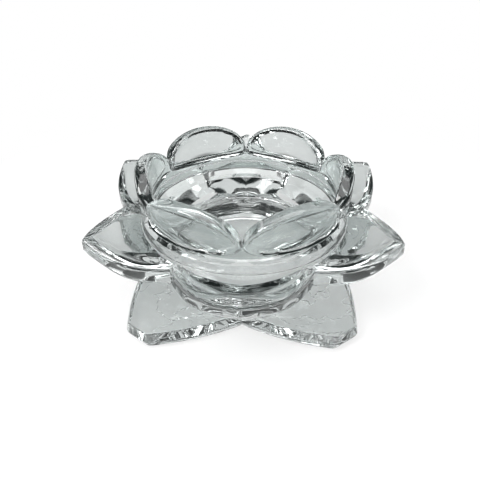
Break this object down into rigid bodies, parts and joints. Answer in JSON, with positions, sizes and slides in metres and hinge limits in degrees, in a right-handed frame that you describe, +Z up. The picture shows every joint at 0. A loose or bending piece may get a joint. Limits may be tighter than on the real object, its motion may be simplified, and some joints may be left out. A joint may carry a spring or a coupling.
{
  "type": "lotus candle holder",
  "caption": "Clear crystal lotus tealight holder: a round candle cup on a hub, ringed by upright upper petals, boat-shaped middle petals and broad lower petals that are its feet.",
  "frame": {"origin": "middle of the flat underside, on the surface that the holder stands on", "axes": "+Z up out of the candle cup, -Y the front that the picture shows, with two feet towards it; +X to the right"},
  "size_m": [0.0986, 0.105, 0.0373],
  "materials": {
    "clear_crystal": "polished"
  },
  "bodies": {
    "root": {"base_hub": "clear_crystal", "candle_cup": "clear_crystal", "lower_petal_1": "clear_crystal", "lower_petal_2": "clear_crystal", "lower_petal_3": "clear_crystal", "lower_petal_4": "clear_crystal", "lower_petal_5": "clear_crystal", "middle_petal_1": "clear_crystal", "middle_petal_2": "clear_crystal", "middle_petal_3": "clear_crystal", "middle_petal_4": "clear_crystal", "middle_petal_5": "clear_crystal", "middle_petal_6": "clear_crystal", "upper_petal_1": "clear_crystal", "upper_petal_2": "clear_crystal", "upper_petal_3": "clear_crystal", "upper_petal_4": "clear_crystal", "upper_petal_5": "clear_crystal", "upper_petal_6": "clear_crystal"}
  },
  "joints": []
}
